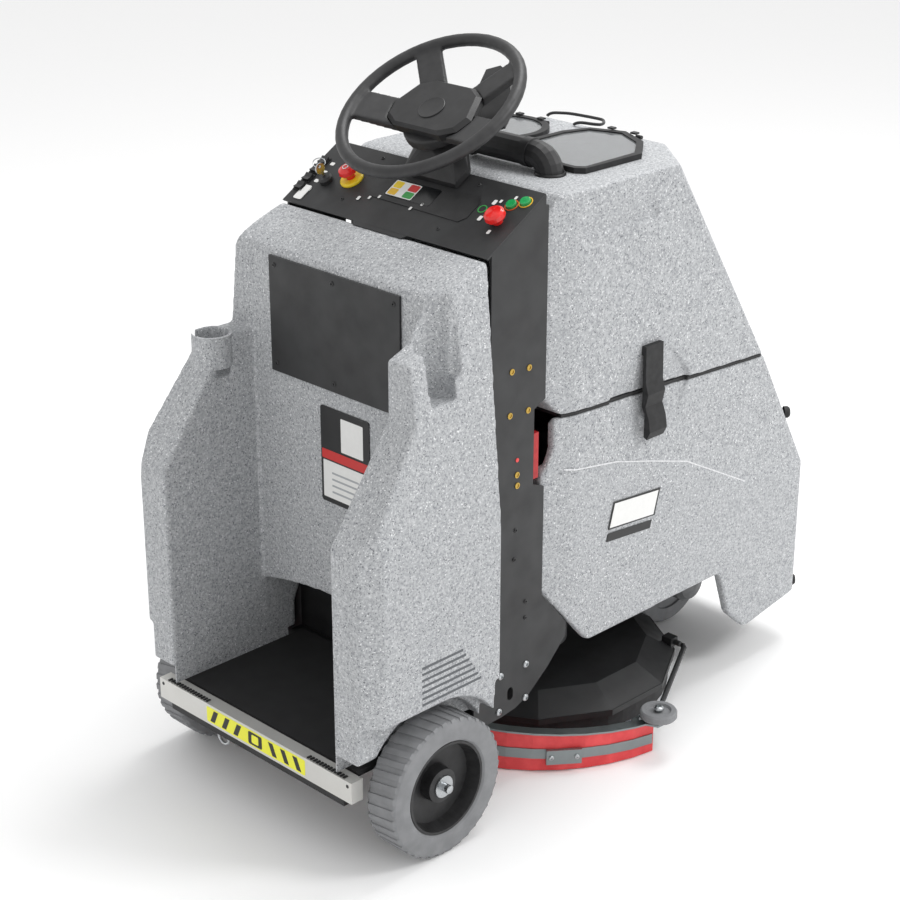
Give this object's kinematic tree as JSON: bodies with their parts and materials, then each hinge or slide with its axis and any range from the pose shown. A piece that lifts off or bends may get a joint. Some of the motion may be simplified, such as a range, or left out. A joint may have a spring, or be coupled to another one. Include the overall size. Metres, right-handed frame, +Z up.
{
  "type": "stand-on floor scrubber-dryer",
  "caption": "Battery stand-on floor scrubber-dryer: operator bay with a step at the rear, steering wheel and console, two-part tank, disc scrub deck and curved squeegee.",
  "frame": {"origin": "on the floor, under the middle of the machine's box", "axes": "+X towards the nose (travel direction), +Y to the standing operator's left, +Z up"},
  "size_m": [1.376, 0.864, 1.4284],
  "materials": {
    "granite_polyethylene": "rotomoulded, granite speckle",
    "black_powder_coat": "powder coat",
    "black_frame_paint": "satin",
    "zinc_plated_steel": "zinc plated",
    "stainless_bar": "brushed",
    "grey_rubber": "non-marking grey",
    "black_nylon": "moulded",
    "black_rubber_mat": "matt",
    "black_moulded_plastic": "moulded, fine grain",
    "red_gum_rubber": "satin",
    "spring_steel": "rolled",
    "red_plastic": "gloss",
    "yellow_plastic": "satin",
    "green_plastic": "gloss",
    "clear_polycarbonate": "clear",
    "blue_nylon_bristle": "bristle",
    "grey_motor_paint": "satin",
    "battery_case": "moulded"
  },
  "bodies": {
    "chassis": {"chassis_frame": "black_frame_paint", "rear_axle": "zinc_plated_steel", "platform_mat": "black_rubber_mat", "step_bar": "stainless_bar", "tow_ring": "zinc_plated_steel", "side_panel_left": "black_powder_coat", "side_panel_right": "black_powder_coat", "console_plate": "black_powder_coat", "rear_shroud": "granite_polyethylene", "knee_panel": "black_powder_coat", "solution_tank": "granite_polyethylene", "seam_gasket": "black_rubber_mat", "battery_left": "battery_case", "battery_right": "battery_case", "battery_connector": "red_plastic", "vacuum_motor": "black_moulded_plastic", "column_cover": "black_moulded_plastic", "display_panel": "black_moulded_plastic", "estop_collar": "yellow_plastic", "key_switch": "black_moulded_plastic", "lift_actuator": "black_frame_paint"},
    "steering": {"steering_wheel": "black_moulded_plastic", "steering_hub_pad": "black_moulded_plastic", "steering_column": "zinc_plated_steel"},
    "drive_unit": {"drive_fork": "black_frame_paint", "drive_motor": "grey_motor_paint"},
    "drive_wheel": {"drive_wheel": "grey_rubber"},
    "rear_wheel_left": {"rear_tyre_left": "grey_rubber", "rear_rim_left": "black_nylon"},
    "rear_wheel_right": {"rear_tyre_right": "grey_rubber", "rear_rim_right": "black_nylon"},
    "deck": {"deck_pan": "black_powder_coat", "deck_skirt": "black_rubber_mat", "brush_motor": "grey_motor_paint"},
    "brush": {"scrub_brush": "blue_nylon_bristle"},
    "squeegee": {"squeegee_plate": "spring_steel", "squeegee_blade_rear": "red_gum_rubber", "squeegee_blade_front": "red_gum_rubber", "squeegee_strap": "spring_steel", "squeegee_arm_left": "black_powder_coat", "squeegee_arm_right": "black_powder_coat"},
    "roller_left": {"guide_roller_left": "grey_rubber"},
    "roller_right": {"guide_roller_right": "grey_rubber"},
    "recovery_tank": {"recovery_tank": "granite_polyethylene", "vacuum_pipe": "black_moulded_plastic", "tank_hinge": "black_powder_coat"},
    "lid_right": {"lid_frame_right": "black_moulded_plastic", "lid_window_right": "clear_polycarbonate"},
    "lid_left": {"lid_frame_left": "black_moulded_plastic", "lid_window_left": "clear_polycarbonate"},
    "latch": {"tank_latch": "black_rubber_mat"},
    "estop": {"estop_button": "red_plastic"},
    "speed_knob": {"speed_knob": "red_plastic"},
    "forward_button": {"forward_button": "green_plastic"},
    "reverse_button": {"reverse_button": "green_plastic"},
    "key": {"ignition_key": "zinc_plated_steel"},
    "rocker_1": {"rocker_switch_1": "black_moulded_plastic"},
    "rocker_2": {"rocker_switch_2": "black_moulded_plastic"},
    "rocker_3": {"rocker_switch_3": "black_moulded_plastic"},
    "rocker_4": {"rocker_switch_4": "black_moulded_plastic"}
  },
  "joints": [
    {"name": "drive_steer", "type": "hinge", "parent": "chassis", "child": "drive_unit", "pos_m": [0.525, 0, 0.115], "axis": [0, 0, 1], "range_deg": [-75, 75]},
    {"name": "drive_wheel_spin", "type": "hinge", "parent": "drive_unit", "child": "drive_wheel", "pos_m": [0.525, 0, 0.115], "axis": [0, 1, 0], "continuous": true},
    {"name": "steering_wheel_turn", "type": "hinge", "parent": "chassis", "child": "steering", "pos_m": [-0.206, 0, 1.32], "axis": [-0.5351, 0, 0.8448], "range_deg": [-180, 180]},
    {"name": "rear_wheel_left_spin", "type": "hinge", "parent": "chassis", "child": "rear_wheel_left", "pos_m": [-0.51, 0.3165, 0.14], "axis": [0, 1, 0], "continuous": true},
    {"name": "rear_wheel_right_spin", "type": "hinge", "parent": "chassis", "child": "rear_wheel_right", "pos_m": [-0.51, -0.3165, 0.14], "axis": [0, 1, 0], "continuous": true},
    {"name": "deck_lift", "type": "slide", "parent": "chassis", "child": "deck", "axis": [0, 0, 1], "range_m": [0, 0.045]},
    {"name": "brush_spin", "type": "hinge", "parent": "deck", "child": "brush", "pos_m": [0.102, 0, 0.06], "axis": [0, 0, 1], "continuous": true},
    {"name": "squeegee_lift", "type": "hinge", "parent": "deck", "child": "squeegee", "pos_m": [0.325, 0, 0.084], "axis": [0, 1, 0], "range_deg": [0, 4]},
    {"name": "roller_left_spin", "type": "hinge", "parent": "squeegee", "child": "roller_left", "pos_m": [0.052, 0.394, 0.105], "axis": [0, 0, 1], "continuous": true},
    {"name": "roller_right_spin", "type": "hinge", "parent": "squeegee", "child": "roller_right", "pos_m": [0.052, -0.394, 0.105], "axis": [0, 0, 1], "continuous": true},
    {"name": "recovery_tank_tilt", "type": "hinge", "parent": "chassis", "child": "recovery_tank", "pos_m": [0.573, 0, 0.7165], "axis": [0, 1, 0], "range_deg": [0, 65]},
    {"name": "lid_right_open", "type": "hinge", "parent": "recovery_tank", "child": "lid_right", "pos_m": [0.276, 0, 1.1873], "axis": [0, 1, 0], "range_deg": [0, 88]},
    {"name": "lid_left_open", "type": "hinge", "parent": "recovery_tank", "child": "lid_left", "pos_m": [0.235, 0, 1.1873], "axis": [0, 1, 0], "range_deg": [0, 88]},
    {"name": "latch_open", "type": "hinge", "parent": "recovery_tank", "child": "latch", "pos_m": [0.124, -0.2769, 0.84], "axis": [-1, 0, 0], "range_deg": [0, 70]},
    {"name": "estop_press", "type": "slide", "parent": "chassis", "child": "estop", "axis": [0.515, 0, -0.8572], "range_m": [0, 0.004], "stiffness_N_per_m": 800},
    {"name": "speed_knob_turn", "type": "hinge", "parent": "chassis", "child": "speed_knob", "pos_m": [-0.26343, -0.232, 1.1542], "axis": [-0.515, 0, 0.8572], "range_deg": [-135, 135]},
    {"name": "forward_press", "type": "slide", "parent": "chassis", "child": "forward_button", "axis": [0.515, 0, -0.8572], "range_m": [0, 0.0025], "stiffness_N_per_m": 400},
    {"name": "reverse_press", "type": "slide", "parent": "chassis", "child": "reverse_button", "axis": [0.515, 0, -0.8572], "range_m": [0, 0.0025], "stiffness_N_per_m": 400},
    {"name": "key_turn", "type": "hinge", "parent": "chassis", "child": "key", "pos_m": [-0.27543, 0.214, 1.14699], "axis": [-0.515, 0, 0.8572], "range_deg": [-90, 0]},
    {"name": "rocker_1_tilt", "type": "hinge", "parent": "chassis", "child": "rocker_1", "pos_m": [-0.3013, 0.262, 1.1318], "axis": [0, 1, 0], "range_deg": [-8, 8], "stiffness_Nm_per_rad": 0.02},
    {"name": "rocker_2_tilt", "type": "hinge", "parent": "chassis", "child": "rocker_2", "pos_m": [-0.28072, 0.262, 1.14416], "axis": [0, 1, 0], "range_deg": [-8, 8], "stiffness_Nm_per_rad": 0.02},
    {"name": "rocker_3_tilt", "type": "hinge", "parent": "chassis", "child": "rocker_3", "pos_m": [-0.2593, 0.262, 1.15704], "axis": [0, 1, 0], "range_deg": [-8, 8], "stiffness_Nm_per_rad": 0.02},
    {"name": "rocker_4_tilt", "type": "hinge", "parent": "chassis", "child": "rocker_4", "pos_m": [-0.23872, 0.262, 1.1694], "axis": [0, 1, 0], "range_deg": [-8, 8], "stiffness_Nm_per_rad": 0.02}
  ],
  "couplings": [
    {"joint": "steering_wheel_turn", "follows": "drive_steer", "ratio": 2.4}
  ]
}
